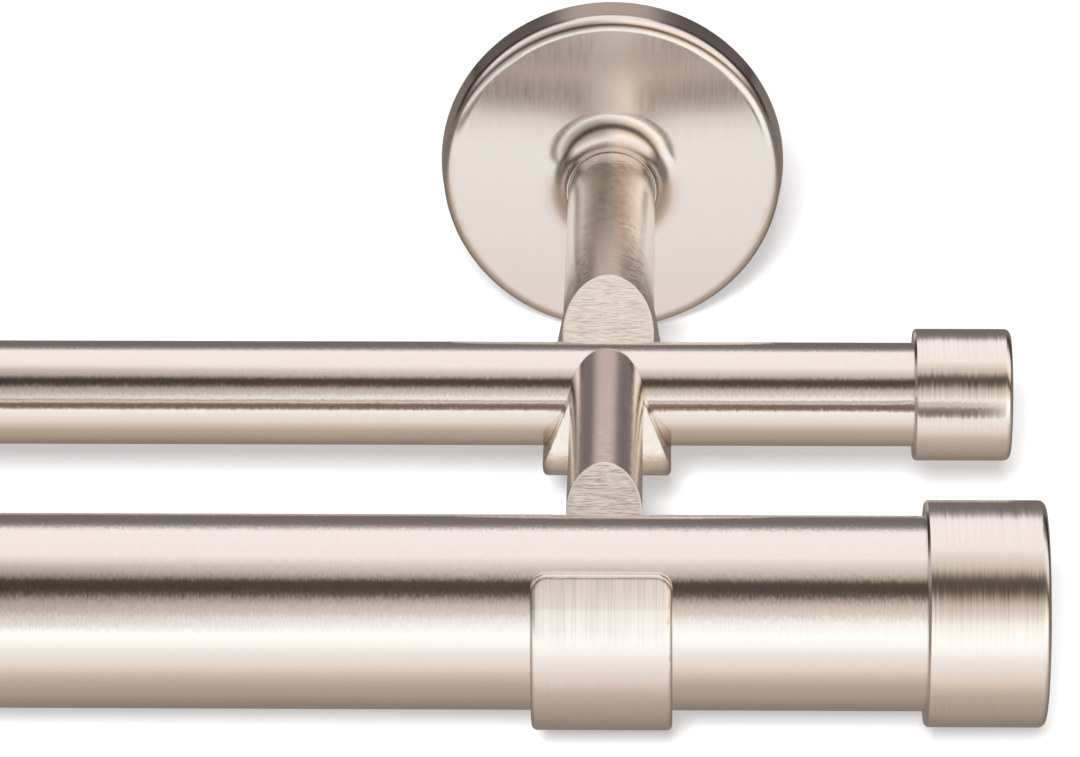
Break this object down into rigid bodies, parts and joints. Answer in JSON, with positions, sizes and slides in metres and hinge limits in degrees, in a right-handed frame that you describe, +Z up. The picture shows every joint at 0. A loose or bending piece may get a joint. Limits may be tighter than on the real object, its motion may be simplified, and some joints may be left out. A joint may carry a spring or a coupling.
{
  "type": "double curtain pole",
  "caption": "Thick front pole and thin rear pole on cast double brackets with round wall rosettes and plain end caps, for hanging a curtain in front of a net.",
  "frame": {"origin": "middle of the four wall screw holes, on the wall plane, midway between the two brackets and level with their arms", "axes": "+X along the poles to the right seen from the room, +Y into the wall, +Z up"},
  "size_m": [1.2066, 0.175, 0.057],
  "materials": {
    "pole_metal": "satin nickel plate, fine grain running round the tube",
    "cap_metal": "satin nickel plate, fine circumferential brushing",
    "arm_metal": "satin nickel plate over a casting",
    "rosette_metal": "smooth satin nickel plate",
    "plate_steel": "zinc plated",
    "bolt_steel": "zinc plated",
    "screw_steel": "nickel plated",
    "plug_plastic": "matt moulded"
  },
  "bodies": {
    "root": {"front_pole": "pole_metal", "rear_pole": "pole_metal", "front_cap_right": "cap_metal", "rear_cap_right": "cap_metal", "front_plug_right": "plug_plastic", "rear_plug_right": "plug_plastic", "wall_plate_right": "plate_steel", "rosette_right": "rosette_metal", "arm_right": "arm_metal", "arm_bolt_right": "bolt_steel", "front_pole_screw_right": "screw_steel", "rear_pole_screw_right": "screw_steel", "rosette_screw_right": "screw_steel", "front_cap_left": "cap_metal", "rear_cap_left": "cap_metal", "front_plug_left": "plug_plastic", "rear_plug_left": "plug_plastic", "wall_plate_left": "plate_steel", "rosette_left": "rosette_metal", "arm_left": "arm_metal", "arm_bolt_left": "bolt_steel", "front_pole_screw_left": "screw_steel", "rear_pole_screw_left": "screw_steel", "rosette_screw_left": "screw_steel"}
  },
  "joints": []
}
